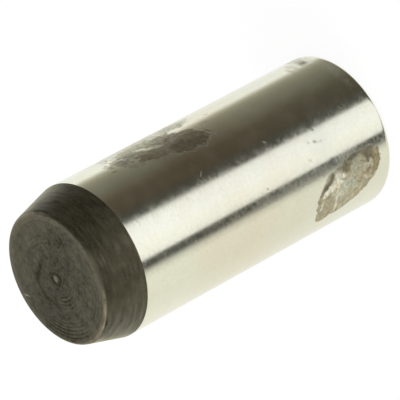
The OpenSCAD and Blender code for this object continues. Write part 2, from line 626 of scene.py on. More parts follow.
@dataclass(frozen=True)
class FaceShades:
    """How strongly each thing lightens the scale of the end face, or darkens it below 0.

    Slopes are for each millimetre, and the twist is for each square millimetre. Places are in
    millimetres, and diagonal_from in square ones. A pair says where a change begins and where it
    is full, or the radii between which it is full. The pair pip_centre is X and Y, and pip_fade
    counts from the pip's own radius.
    """

    even: float = 0.08
    outwards: float = 0.2
    outwards_from: float = 3.2
    rightwards: float = 0.04
    backwards: float = -0.025
    twist: float = 0.017
    diagonal: float = -0.2
    ring: float = 0.2
    dull_rim: float = -0.22
    # The light rim is a painted highlight.
    light_rim: float = 0.6
    patchy: float = 0.35
    ragged: float = 0.45
    gritty: float = 0.7
    spiral: float = 0.5
    pause: float = -0.9
    # The groove's painted shade and light: darker at its front and beside it, lighter behind
    groove_front: float = -0.1
    groove_back: float = 0.25
    beside_groove: float = -0.28
    pip: float = 2.4
    pip_worn: float = 0.12
    pip_centre: Pair = (0.02, 0.11)
    pip_fade: Pair = (-0.11, 0.01)
    diagonal_from: Pair = (1.0, 5.0)
    ring_radii: Pair = (2.1, 2.6)
    ring_fade: float = 0.3
    dull_rim_from: Pair = (4.1, 4.5)
    dull_rim_side: Pair = (-1.5, -3.5)
    light_rim_radii: Pair = (4.6, 4.8)
    light_rim_fade: float = 0.15
    light_rim_side: Pair = (-4.5, -2.0)
    groove_behind: Pair = (0.1, 0.4)
    groove_beside: Pair = (0.12, 0.35)
    groove_before: Pair = (0.3, 0.0)
    groove_margin: float = 0.05
    groove_fade: float = 0.12
    groove_ragged: float = 0.08
    spiral_fade: float = 0.3


@dataclass(frozen=True)
class Pause:
    """The ragged ring where the facing tool paused. Lengths are in millimetres.

    The ring is full where X is past the pair rightwards and Y past the pair backwards, and keeps
    its least strength elsewhere. Towards +X its radius is smaller. It is broken up where the
    noise of the scale is low.
    """

    radii: Pair = (2.24, 2.32)
    fade: float = 0.14
    ragged: float = 0.24
    least: float = 0.15
    backwards: Pair = (0.0, 1.2)
    rightwards: Pair = (-2.6, -1.2)
    inwards: float = 0.6
    inwards_from: Pair = (0.2, 1.4)
    broken: Pair = (-0.7, 0.2)
    patchy: float = 0.5

    def at(self, x: Array, y: Array, radius: Array, ragged: Array, broken: Array) -> Array:
        """How strongly the ring shows.

        Args:
            x: X of each place.
            y: Y of each place.
            radius: Radius of each place.
            ragged: Noise that moves the ring in and out.
            broken: Noise that breaks it up.

        Returns:
            Strengths between 0 and 1.
        """
        behind = smooth_step(*self.backwards, y) * smooth_step(*self.rightwards, x)
        inwards = self.inwards * smooth_step(*self.inwards_from, x)
        ring = window(*self.radii, self.fade, radius + inwards + self.ragged * ragged)
        return ring * lerp(self.least, 1.0, behind) * smooth_step(*self.broken, broken)


# How patchy, ragged and gritty the scale of the end face is
FACE_UNEVENNESS = (
    Unevenness(seed=31, cell=1.1, start=(20.0, 20.0)),
    Unevenness(seed=32, cell=0.45, start=(20.0, 20.0)),
    Unevenness(seed=33, cell=0.17, start=(50.0, 50.0), layers=2),
)

# Where the facing tool's rings are cut deeper into the end face, and where the scale is painted lighter on
# their crests and darker in their grooves, as painted shade
CLEAR_RINGS = (
    Oval(-3.8, 1.5, 4.4, 1.6, lean=22, soft=0.6, ragged=0.5),
    Oval(-1.7, 0.2, 2.2, 1.0, soft=0.6, ragged=0.5),
    Oval(3.1, -0.2, 2.6, 0.9, strength=0.5, soft=0.6, ragged=0.6),
    Oval(-3.0, -2.9, 3.2, 1.0, lean=-44, strength=0.5, soft=0.6, ragged=0.6),
    Oval(2.9, -3.3, 3.0, 1.0, lean=49, strength=0.35, soft=0.6, ragged=0.6),
)


@dataclass(frozen=True)
class Scratch:
    """A thin straight scratch: its middle, its half length and half width, and its lean in degrees."""

    across: float
    up: float
    half_length: float
    half_width: float
    lean: float


# Two scratches on the shank, in millimetres round it and up it, and one on the end face in metres
SCRATCHES = (
    Scratch(1.75, 16.72, 0.44, 0.06, -46.0),
    Scratch(1.60, 10.50, 0.28, 0.10, 38.0),
)
FACE_SCRATCH = Scratch(-0.02 * MM, 4.42 * MM, 0.52 * MM, 0.07 * MM, 56.0)


# ---------------------------------------------------------------- the turned section


class Finish(Enum):
    """The two finishes of the pin, numbered as the mesh's material slots."""

    GROUND = 0
    SCALE = 1


class Zone(Enum):
    """The stretches of the section, from the middle of the plain end to the middle of the lead's."""

    PLAIN_END = Finish.GROUND, 0
    PLAIN_EDGE = Finish.GROUND, 1
    SHANK = Finish.GROUND, 2
    LEAD = Finish.SCALE, 3
    LEAD_EDGE = Finish.SCALE, 4
    END_FACE = Finish.SCALE, 5

    @property
    def finish(self) -> Finish:
        """The finish that this stretch has."""
        return self.value[0]

    @property
    def order(self) -> int:
        """The stretch's place along the section."""
        return self.value[1]


@dataclass(frozen=True)
class PinSizes:
    """The section of the solid, in metres, and how close the points of the skin lie."""

    diameter: float
    length: float
    plain_edge: float = 0.4 * MM
    lead_length: float = 3.2 * MM
    lead_angle: float = math.radians(15.0)
    lead_edge: float = 0.3 * MM
    pip_diameter: float = 0.55 * MM
    groove_width: float = 0.35 * MM
    groove_depth: float = 0.06 * MM

    @classmethod
    def from_frame(cls) -> "PinSizes":
        """The sizes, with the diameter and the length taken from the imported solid."""
        low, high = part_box(NODE)
        return cls(diameter=high.x - low.x, length=high.z - low.z)

    @property
    def radius(self) -> float:
        """Radius of the ground shank."""
        return self.diameter / 2.0

    @property
    def shoulder(self) -> float:
        """Height at which the shank ends and the lead begins."""
        return self.length - self.lead_length

    @property
    def face_radius(self) -> float:
        """Radius at which the side of the lead would meet its end face if the edge were sharp."""
        return self.radius - self.lead_length * math.tan(self.lead_angle)

    @property
    def pip_radius(self) -> float:
        """Radius of the pip that the facing tool leaves."""
        return self.pip_diameter / 2.0

    @property
    def groove_end(self) -> float:
        """Radius at which the groove round the pip meets the end face."""
        return self.pip_radius + self.groove_width

    def round_side(self, azimuth: Array) -> Array:
        """Millimetres round the shank from azimuth 0, for azimuths in degrees."""
        return np.radians(azimuth) * self.radius / MM


@dataclass
class Section:
    """The section as rows of points: radius, height, outward normal, length run, and zone."""

    radius: Array
    height: Array
    normal_out: Array
    normal_up: Array
    run: Array
    zone: Array

    def rows(self, zone: Zone) -> Array:
        """True for each row of points that lies in the zone."""
        return self.zone == zone.order


class SectionBuilder:
    """Strings straight and round stretches together into a section."""

    def __init__(self) -> None:
        """Starts an empty section."""
        self.stretches: list[tuple[Array, Array, Array, Array, int]] = []

    def straight(self, zone: Zone, start: Pair, end: Pair, shares: Array) -> None:
        """Adds a straight stretch. Its points are start + share * (end - start).

        Args:
            zone: The zone that its points belong to.
            start: Radius and height of its start.
            end: Radius and height of its end.
            shares: Shares of the way at which points lie.
        """
        run_out, run_up = end[0] - start[0], end[1] - start[1]
        length = math.hypot(run_out, run_up)
        out = np.full_like(shares, run_up / length)
        up = np.full_like(shares, -run_out / length)
        self.stretches.append((start[0] + run_out * shares, start[1] + run_up * shares, out, up, zone.order))

    def arc(self, zone: Zone, centre: Pair, radius: float, angles: Array) -> None:
        """Adds an arc. Its points are centre + radius * (cos, sin) of each angle.

        Args:
            zone: The zone that its points belong to.
            centre: Radius and height of the arc's centre.
            radius: Radius of the arc; a negative one makes a hollow whose skin faces the centre.
            angles: Angles above the outward direction, in radians.
        """
        out, up = np.cos(angles), np.sin(angles)
        self.stretches.append((centre[0] + radius * out, centre[1] + radius * up, out, up, zone.order))

    def build(self) -> Section:
        """Joins the stretches end to end.

        Returns:
            The section, whose run is the length along it from the first point.
        """
        parts = [np.concatenate([s[k] for s in self.stretches]) for k in range(4)]
        zone = np.concatenate([np.full(len(s[0]), s[4]) for s in self.stretches])
        steps = np.hypot(np.diff(parts[0]), np.diff(parts[1]))
        return Section(*parts, run=np.concatenate([[0.0], np.cumsum(steps)]), zone=zone)


# ---------------------------------------------------------------- the skin


@dataclass
class SkinValues:
    """What the skin holds at each of its points, as grids of rows by columns.

    Lift is the height added along the normal, in metres. Film is how thickly a dried film, or the
    painted reflection laid like one, covers the point, and film_tint its colour. Pit and worn run
    from 0 to 1. Tone is how much lighter than usual the scale is, and it is below 0 where the
    scale is darker; it holds painted light and shade as well as the scale's own tone.
    """

    lift: Array
    film: Array
    film_tint: Array
    pit: Array
    worn: Array
    tone: Array

    @classmethod
    def blank(cls, rows: int, columns: int) -> "SkinValues":
        """Bare skin with no marks on it."""
        grids = {name: np.zeros((rows, columns)) for name in ("lift", "film", "pit", "worn", "tone")}
        return cls(film_tint=np.full((rows, columns, 3), DROP_STAIN.tint), **grids)


@dataclass
class PinSkin:
    """The pin's skin: a closed grid of points on the turned section, with its marks worked in.

    Columns are spaced in degrees, and rows in metres. The depths, pitch and wander are in metres.
    """

    sizes: PinSizes
    column_spacing: float = 2.6
    row_spacing: float = 0.34 * MM
    fine_columns: tuple[Stretch, ...] = (
        Stretch(-66.0, -18.0, 0.75),
        Stretch(-18.0, 34.0, 1.35),
        Stretch(34.0, 80.0, 0.9),
    )
    fine_rows: tuple[Stretch, ...] = (
        Stretch(0.4 * MM, 8.2 * MM, 0.1 * MM),
        Stretch(12.5 * MM, 22.0 * MM, 0.13 * MM),
    )
    plain_end_rows: int = 17
    arc_rows: int = 9
    lead_rows: int = 72
    face_rows: int = 96
    pip_rows: int = 5
    ring_pitch: float = 0.285 * MM
    ring_depth: float = 0.0045 * MM
    ring_wander: float = 0.03 * MM
    faint_rings: float = 0.12
    turning_depth: float = 0.006 * MM
    pit_depth: float = 0.002 * MM
    lead_shades: LeadShades = LeadShades()
    face_shades: FaceShades = FaceShades()
    pause: Pause = Pause()
    section: Section = field(init=False)
    azimuth: Array = field(init=False)

    def __post_init__(self) -> None:
        """Works out the section and the azimuths of the columns, in degrees."""
        self.section = self.turned_section()
        self.azimuth = graded(-180.0, 180.0, self.column_spacing, self.fine_columns)[:-1]

    def turned_section(self) -> Section:
        """The section from near the middle of the plain end round to near the middle of the pip.

        Two arcs round the edges of the ends, tangent to the faces that they join, and the groove
        round the pip is a hollow arc whose depth and width at the end face are its sizes.

        Returns:
            The section, without the two points on the axis.
        """
        s = self.sizes
        build = SectionBuilder()
        quarter = math.pi / 2.0
        plain_radius = s.radius - s.plain_edge
        shares = np.linspace(0.0, 1.0, self.plain_end_rows)
        build.straight(Zone.PLAIN_END, (0.0, 0.0), (plain_radius, 0.0), shares[1:-1])
        angles = np.linspace(-quarter, 0.0, self.arc_rows)
        build.arc(Zone.PLAIN_EDGE, (plain_radius, s.plain_edge), s.plain_edge, angles[:-1])
        heights = graded(s.plain_edge, s.shoulder, self.row_spacing, self.fine_rows)
        shares = (heights - s.plain_edge) / (s.shoulder - s.plain_edge)
        build.straight(Zone.SHANK, (s.radius, s.plain_edge), (s.radius, s.shoulder), shares[:-1])

        reach = s.lead_edge * math.tan((quarter - s.lead_angle) / 2.0)
        edge_start = (
            s.face_radius + reach * math.sin(s.lead_angle),
            s.length - reach * math.cos(s.lead_angle),
        )
        shares = np.linspace(0.0, 1.0, self.lead_rows)
        build.straight(Zone.LEAD, (s.radius, s.shoulder), edge_start, shares[:-1])
        edge_centre = (s.face_radius - reach, s.length - s.lead_edge)
        angles = np.linspace(s.lead_angle, quarter, self.arc_rows)
        build.arc(Zone.LEAD_EDGE, edge_centre, s.lead_edge, angles[:-1])

        shares = np.linspace(0.0, 1.0, self.face_rows)
        build.straight(Zone.END_FACE, (edge_centre[0], s.length), (s.groove_end, s.length), shares[:-1])
        half = s.groove_width / 2.0
        hollow = (half**2 + s.groove_depth**2) / (2.0 * s.groove_depth)
        swing = math.asin(half / hollow)
        angles = np.linspace(quarter + swing, quarter - swing, self.arc_rows)
        groove_centre = (s.pip_radius + half, s.length + hollow - s.groove_depth)
        build.arc(Zone.END_FACE, groove_centre, -hollow, angles[:-1])
        shares = np.linspace(0.0, 1.0, self.pip_rows)
        build.straight(Zone.END_FACE, (s.pip_radius, s.length), (0.0, s.length), shares[:-1])
        return build.build()

    def values(self) -> SkinValues:
        """Adds up every mark at each point of the grid.

        Returns:
            The height added along the normal, in metres, and the values that the finishes read.
        """
        values = SkinValues.blank(len(self.section.run), len(self.azimuth))
        self.mark_shank(values)
        self.mark_lead(values)
        self.mark_face(values)
        return values

    def side_places(self, rows: Array) -> tuple[Array, Array]:
        """Places on the side of the pin as millimetres round it and up it.

        Args:
            rows: Which rows of the section are wanted.

        Returns:
            Two grids: round the side from azimuth 0, and up it from the plain end.
        """
        return np.meshgrid(self.sizes.round_side(self.azimuth), self.section.height[rows] / MM)

    def mark_shank(self, values: SkinValues) -> None:
        """Lays the stains, the painted reflection along a dark band, and the dark spots on the ground shank.

        A stain covers its shapes, its tint runs into the rim's near their edge, and its marks are
        blended in one after another, each raising the film by its own rise.

        Args:
            values: The grids to add to.
        """
        rows = self.section.rows(Zone.SHANK)
        x, y = self.side_places(rows)
        degree = self.sizes.round_side(1.0)
        uneven = sum(share * unevenness.at(x, y) for share, unevenness in STAIN_UNEVENNESS)
        lift, film, tint = values.lift[rows], values.film[rows], values.film_tint[rows]
        for stain in STAINS:
            depths = [shape.distance(x, y, uneven, degree) for shape in stain.shapes]
            cover = np.max([shape.weight(x, y, uneven, degree) for shape in stain.shapes], axis=0)
            rim = smooth_step(1.0 - 2.0 * stain.rim_width, 1.0, np.min(depths, axis=0))[..., None]
            colour = lerp(np.array(stain.tint), np.array(stain.rim_tint), rim)
            height = stain.rise * (1.0 + FILM_UNEVENNESS * uneven)
            for mark in stain.marks:
                weight = mark.weight(x, y, uneven, degree)
                colour = lerp(colour, np.array(mark.tint), weight[..., None])
                height = height + mark.rise * weight
            tint = lerp(tint, colour, (cover / np.maximum(film + cover, LEAST_COVER))[..., None])
            film = np.maximum(film, cover)
            lift = lift + height * cover * MM
        pit = np.zeros_like(x)
        for mark in PITS:
            pit = np.maximum(pit, mark.weight(x, y, uneven, degree))
        values.lift[rows] = lift - pit * self.pit_depth
        values.film[rows], values.film_tint[rows], values.pit[rows] = film, tint, pit

    def mark_lead(self, values: SkinValues) -> None:
        """Turns fine uneven grooves round the lead, streaks its scale, paints light and shade into it, and
        wears its two edges.

        A groove's height is noise that changes fast along the section and slowly round it, and so
        is a streak's tone.

        Args:
            values: The grids to add to.
        """
        section, shades = self.section, self.lead_shades
        rows = section.rows(Zone.LEAD) | section.rows(Zone.LEAD_EDGE) | section.rows(Zone.END_FACE)
        turns, run = np.meshgrid(self.azimuth / 360.0, section.run[rows] / MM)
        start = section.run[section.rows(Zone.LEAD)][0] / MM
        edge = section.run[section.rows(Zone.LEAD_EDGE)] / MM
        side = window(start + shades.groove_margin, edge[0], shades.groove_fade, run)
        values.lift[rows] += self.turning_depth * GROOVES.at(turns, run) * side

        azimuth = turns * 360.0
        patchy = PATCHES.at(turns, run)
        behind = smooth_step(*shades.behind_from, np.abs(azimuth))
        tone = self.lead_tone(turns, run, patchy)
        x, y = self.side_places(rows)
        degree = self.sizes.round_side(1.0)
        for patch in SCALE_PATCHES:
            tone = tone + patch.weight(x, y, patchy, degree)
        # Painted highlight: the edge is lighter than the side near the front.
        low, high = (edge[0] + reach for reach in shades.edge_highlight_from)
        tone = tone + banded(PAINTED_EDGE_HIGHLIGHTS, azimuth) * smooth_step(low, high, run)
        plain = shades.behind + shades.streaks_behind * STREAKS.at(turns, run) + shades.patches * patchy
        values.tone[rows] = lerp(tone, plain, behind)

        where = lerp(banded(WORN_BANDS, azimuth), shades.worn_behind, behind)
        worn = self.worn_edge(azimuth, run, edge[-1]) * where
        bare = SHOULDER_BAND.at(azimuth) * (1.0 - smooth_step(start, start + shades.shoulder_width, run))
        worn = np.maximum(worn, bare)
        values.worn[rows] = worn * lerp(shades.least_worn, 1.0, smooth_step(*shades.patchy_from, patchy))

    def lead_tone(self, turns: Array, run: Array, patchy: Array) -> Array:
        """The tone of the lead's scale: streaks and patches on broad bands of painted light and shade, darker
        towards the end.

        The streaks have a least strength, and are painted stronger in the bands where they catch the
        light. The tone falls evenly along the lead, apart from one dark band of painted shade that stays
        even.

        Args:
            turns: Places round the lead, in turns.
            run: Places along the section, in millimetres.
            patchy: Noise between -1 and 1 at those places.

        Returns:
            The tone, without the patches that are placed one by one.
        """
        shades, azimuth = self.lead_shades, turns * 360.0
        start = self.section.run[self.section.rows(Zone.LEAD)][0] / MM
        # Streaks painted stronger where they catch the light, painted shade in the dark band, and painted
        # light and shade in the other bands
        streaks = (shades.least_streaks + banded(LIT_STREAK_BANDS, azimuth)) * STREAKS.at(turns, run)
        dark = PAINTED_SHADE_BAND.at(azimuth)
        slope = shades.slope * (run - start - shades.slope_from) * (1.0 - dark)
        tone = streaks + shades.patches * patchy + slope
        return tone + shades.painted_shade_band * dark + banded(PAINTED_LIGHT_AND_SHADE_BANDS, azimuth)

    def worn_edge(self, azimuth: Array, run: Array, end: float) -> Array:
        """How far the lead's edge is worn: a line along its end, and a thinly rubbed strip round it.

        The line drifts out towards the lead's side on the flanks.

        Args:
            azimuth: Azimuths in degrees.
            run: Places along the section, in millimetres.
            end: Where the edge's arc ends, in millimetres along the section.

        Returns:
            The wear, between 0 and 1.
        """
        shades = self.lead_shades
        drift = shades.drift * smooth_step(*shades.flanks_from, np.abs(azimuth))
        line = window(end - shades.line_before, end + shades.line_past, shades.line_fade, run + drift)
        low = end - shades.rubbed_before
        rubbed = smooth_step(low, low + shades.rubbed_fade, run)
        rubbed = rubbed * (1.0 - smooth_step(end, end + shades.rubbed_past, run))
        return np.maximum(shades.worn_line * line, shades.rubbed * rubbed)

    def mark_face(self, values: SkinValues) -> None:
        """Cuts the facing tool's spiral into the lead's end face and shades its scale.

        The spiral's height is the cosine of 2 pi (radius / pitch) less the azimuth, so one turn of
        the pin moves the tool by one pitch. It is clear in a few spots and faint elsewhere, and the
        scale is painted lighter on its crests and darker in its grooves, as painted shade. The scale is
        darker along the ragged ring where the tool paused, mostly on the side towards +Y. The groove
        round the pip has painted shade and light, and the pip is lighter and a little worn.

        Args:
            values: The grids to add to.
        """
        section, s, shades = self.section, self.sizes, self.face_shades
        face = section.rows(Zone.END_FACE)
        azimuth, radius = np.meshgrid(np.radians(self.azimuth), section.radius[face] / MM)
        x, y = radius * np.sin(azimuth), -radius * np.cos(azimuth)
        pip, groove_end = s.pip_radius / MM, s.groove_end / MM
        patchy, ragged, gritty = (unevenness.at(x, y) for unevenness in FACE_UNEVENNESS)
        wander, pitch = self.ring_wander / MM, self.ring_pitch / MM
        spiral = np.cos(2.0 * math.pi * (radius + wander * patchy) / pitch - azimuth)
        clear = np.max([spot.weight(x, y, patchy) for spot in CLEAR_RINGS], axis=0)
        outside = smooth_step(groove_end, groove_end + shades.spiral_fade, radius)
        clear = np.maximum(clear, self.faint_rings) * outside
        values.lift[face] += self.ring_depth * spiral * clear

        paused = self.pause.at(x, y, radius, ragged, gritty + self.pause.patchy * patchy)
        tone = self.face_slope(x, y, radius)
        for patch in FACE_PATCHES:
            tone = tone + patch.weight(x, y, patchy)
        tone = tone + shades.patchy * patchy + shades.ragged * ragged + shades.gritty * gritty
        # Painted shade: the scale is lighter on the spiral's crests and darker in its grooves.
        tone = tone + shades.spiral * spiral * clear + shades.pause * paused
        # Painted shade and light in the groove round the pip
        tone = tone + self.painted_groove_shade(x, y, radius + shades.groove_ragged * ragged)
        low, high = (pip + reach for reach in shades.pip_fade)
        centre_x, centre_y = shades.pip_centre
        middle = 1.0 - smooth_step(low, high, np.hypot(x - centre_x, y - centre_y))
        values.tone[face] = lerp(tone, shades.pip, middle)
        values.worn[face] += shades.pip_worn * middle

    def face_slope(self, x: Array, y: Array, radius: Array) -> Array:
        """The broad shading of the end face: lighter outwards and towards +X and -Y.

        The product of X and Y twists it and darkens it on one diagonal. A soft ring round the
        middle is lighter. The rim is lighter too, a painted highlight, apart from its part towards -X,
        which is duller.

        Args:
            x: X of each place, in millimetres.
            y: Y of each place, in millimetres.
            radius: Radius of each place, in millimetres.

        Returns:
            The tone of each place.
        """
        shades = self.face_shades
        slope = shades.even + shades.outwards * (radius - shades.outwards_from)
        slope = slope + shades.rightwards * x + shades.backwards * y + shades.twist * x * y
        diagonal = smooth_step(*shades.diagonal_from, -x * y)
        ring = window(*shades.ring_radii, shades.ring_fade, radius)
        dull_rim = smooth_step(*shades.dull_rim_from, radius) * smooth_step(*shades.dull_rim_side, x)
        # Painted highlight on the rim
        light_rim = window(*shades.light_rim_radii, shades.light_rim_fade, radius)
        light_rim = light_rim * smooth_step(*shades.light_rim_side, x)
        slope = slope + shades.diagonal * diagonal + shades.ring * ring
        return slope + shades.dull_rim * dull_rim + shades.light_rim * light_rim

    def painted_groove_shade(self, x: Array, y: Array, radius: Array) -> Array:
        """Painted shade and light in the groove round the pip: lighter behind it, and darker beside its
        front.

        Args:
            x: X of each place, in millimetres.
            y: Y of each place, in millimetres.
            radius: Radius of each place, in millimetres, a little uneven.

        Returns:
            The tone that the groove adds.
        """
        shades = self.face_shades
        pip, groove_end = self.sizes.pip_radius / MM, self.sizes.groove_end / MM
        beside = smooth_step(*shades.groove_beside, np.abs(x)) * smooth_step(*shades.groove_before, y)
        shade = lerp(shades.groove_front, shades.groove_back, smooth_step(*shades.groove_behind, y))
        shade = shade + shades.beside_groove * beside
        return shade * window(pip + shades.groove_margin, groove_end, shades.groove_fade, radius)

    def points(self, lift: Array) -> Array:
        """Points of the grid: the section moved out along its normal by lift, turned about Z.

        At azimuth a and radius r, X is r sin a and Y is -r cos a.

        Args:
            lift: Height added along the normal, in metres.

        Returns:
            Points as rows by columns by three.
        """
        section, a = self.section, np.radians(self.azimuth)[None, :]
        radius = section.radius[:, None] + section.normal_out[:, None] * lift
        height = section.height[:, None] + section.normal_up[:, None] * lift
        return np.stack([radius * np.sin(a), -radius * np.cos(a), np.broadcast_to(height, radius.shape)], -1)

    @staticmethod
    def faces(rows: int, columns: int) -> tuple[Array, Array]:
        """The faces: a quad between each four neighbours, and a fan of triangles round each pole.

        Azimuth rises anticlockwise from above, so the corners are listed anticlockwise from
        outside. The poles stand for a row before the first and a row after the last.

        Args:
            rows: Rows of the grid.
            columns: Columns of the grid.

        Returns:
            Row and column of each corner, fan, quads and fan, and the count of each face's corners.
        """
        i, j = (a.ravel() for a in np.meshgrid(np.arange(rows - 1), np.arange(columns), indexing="ij"))
        quads = np.stack([i, j, i, j + 1, i + 1, j + 1, i + 1, j], -1).reshape(-1, 2)
        j = np.arange(columns)
        low, top = np.zeros_like(j), np.full_like(j, rows - 1)
        foot = np.stack([low - 1, j, low, j + 1, low, j], -1).reshape(-1, 2)
        head = np.stack([top + 1, j, top, j, top, j + 1], -1).reshape(-1, 2)
        counts = np.concatenate([np.full(columns, 3), np.full((rows - 1) * columns, 4), np.full(columns, 3)])
        return np.concatenate([foot, quads, head]), counts

    def mesh(self) -> bpy.types.Mesh:
        """Makes the closed mesh. Row i, column j is point i * columns + j, and the poles come last.

        Returns:
            The mesh, with its finishes, its flat layouts and the values that the finishes read.
        """
        values = self.values()
        grid = self.points(values.lift)
        rows, columns = grid.shape[:2]
        poles = np.array([[0.0, 0.0, 0.0], [0.0, 0.0, self.sizes.length]])
        points = np.concatenate([grid.reshape(-1, 3), poles])
        corners, counts = self.faces(rows, columns)
        index = corners[:, 0] * columns + corners[:, 1] % columns
        index[corners[:, 0] < 0] = rows * columns
        index[corners[:, 0] == rows] = rows * columns + 1
        firsts = np.concatenate([[0], np.cumsum(counts)[:-1]])

        made = bpy.data.meshes.new("pin_skin")
        made.vertices.add(len(points))
        made.vertices.foreach_set("co", points.ravel())
        made.loops.add(len(index))
        made.loops.foreach_set("vertex_index", index)
        made.polygons.add(len(counts))
        made.polygons.foreach_set("loop_start", firsts)
        zones = self.zones_of_faces(corners, counts, firsts)
        finishes = np.array([zone.finish.value for zone in Zone])
        made.polygons.foreach_set("material_index", finishes[zones])
        made.update(calc_edges=True)
        self.lay_flat(made, corners, np.repeat(zones, counts))
        self.sharpen_shoulder(made, columns)
        self.hold_values(made, values)
        return made

    @staticmethod
    def hold_values(made: bpy.types.Mesh, values: SkinValues) -> None:
        """Gives the mesh's points the values that the finishes read. A pole has its neighbour's.

        Args:
            made: The mesh.
            values: The values at each point of the grid.
        """
        for name in ("film", "pit", "worn", "tone"):
            layer = made.attributes.new(name, "FLOAT", "POINT")
            held = getattr(values, name)
            layer.data.foreach_set("value", np.append(held.ravel(), [held[0, 0], held[-1, 0]]))
        tint = np.ones((len(made.vertices), 4))
        tint[:-2, :3] = values.film_tint.reshape(-1, 3)
        layer = made.attributes.new("film_tint", "FLOAT_COLOR", "POINT")
        layer.data.foreach_set("color", tint.ravel())

    def zones_of_faces(self, corners: Array, counts: Array, firsts: Array) -> Array:
        """The number of the zone in which each face's first row lies.

        Args:
            corners: Row and column of each corner.
            counts: Corners of each face.
            firsts: Each face's first corner, which is the pole in a fan.

        Returns:
            One number for each face.
        """
        return self.section.zone[corners[np.where(counts == 4, firsts, firsts + 1), 0]]

    def lay_flat(self, made: bpy.types.Mesh, corners: Array, zone: Array) -> None:
        """Lays the skin out flat at one scale: the side as a strip, and the ends as discs under it.

        On the strip, U is the azimuth and V the length run along the section. On a disc, they are
        the point's own X and Y, and the plain end is mirrored because it is seen from below. A
        second layout gives the finishes the place on the side in millimetres, round it and up it.

        Args:
            made: The mesh that gets the layouts.
            corners: Row and column of each corner.
            zone: Number of the zone that each corner's face lies in.
        """
        section = self.section
        last = len(section.run) - 1
        azimuth = np.append(self.azimuth, 180.0)[corners[:, 1]]
        row = np.clip(corners[:, 0], 0, last)
        on_axis = (corners[:, 0] < 0) | (corners[:, 0] > last)
        radius = np.where(on_axis, 0.0, section.radius[row])
        plain = zone == Zone.PLAIN_END.order
        disc = plain | (zone == Zone.END_FACE.order)

        width, band = STRIP_WIDTH, DISC_BAND
        scale = width / (2.0 * math.pi * self.sizes.radius)
        first_run = section.run[section.rows(Zone.PLAIN_EDGE)][0]
        strip_u = 0.5 + width * azimuth / 360.0
        strip_v = band + (section.run[row] - first_run) * scale
        side = np.where(plain, -1.0, 1.0)
        disc_u = 0.5 + side * (0.25 + radius * np.sin(np.radians(azimuth)) * scale)
        disc_v = band / 2.0 - radius * np.cos(np.radians(azimuth)) * scale
        flat = np.stack([np.where(disc, disc_u, strip_u), np.where(disc, disc_v, strip_v)], -1)
        made.uv_layers.new(name=BAKE_MAP).uv.foreach_set("vector", flat.ravel())

        first = int(np.argmax(section.rows(Zone.SHANK)))
        up_side = (section.run[row] - section.run[first] + section.height[first]) / MM
        side_map = np.stack([self.sizes.round_side(azimuth), up_side], -1)
        made.uv_layers.new(name=SIDE_MAP).uv.foreach_set("vector", side_map.ravel())

    def sharpen_shoulder(self, made: bpy.types.Mesh, columns: int) -> None:
        """Marks the ring of edges between the shank and the lead as sharp, so it shades as an edge.

        Args:
            made: The mesh.
            columns: Columns of the grid.
        """
        shoulder = int(np.argmax(self.section.rows(Zone.LEAD)))
        ends = np.empty(2 * len(made.edges), np.int32)
        made.edges.foreach_get("vertices", ends)
        sharp = (ends.reshape(-1, 2) // columns == shoulder).all(1)
        made.attributes.new("sharp_edge", "BOOLEAN", "EDGE").data.foreach_set("value", sharp)


# ---------------------------------------------------------------- finishes


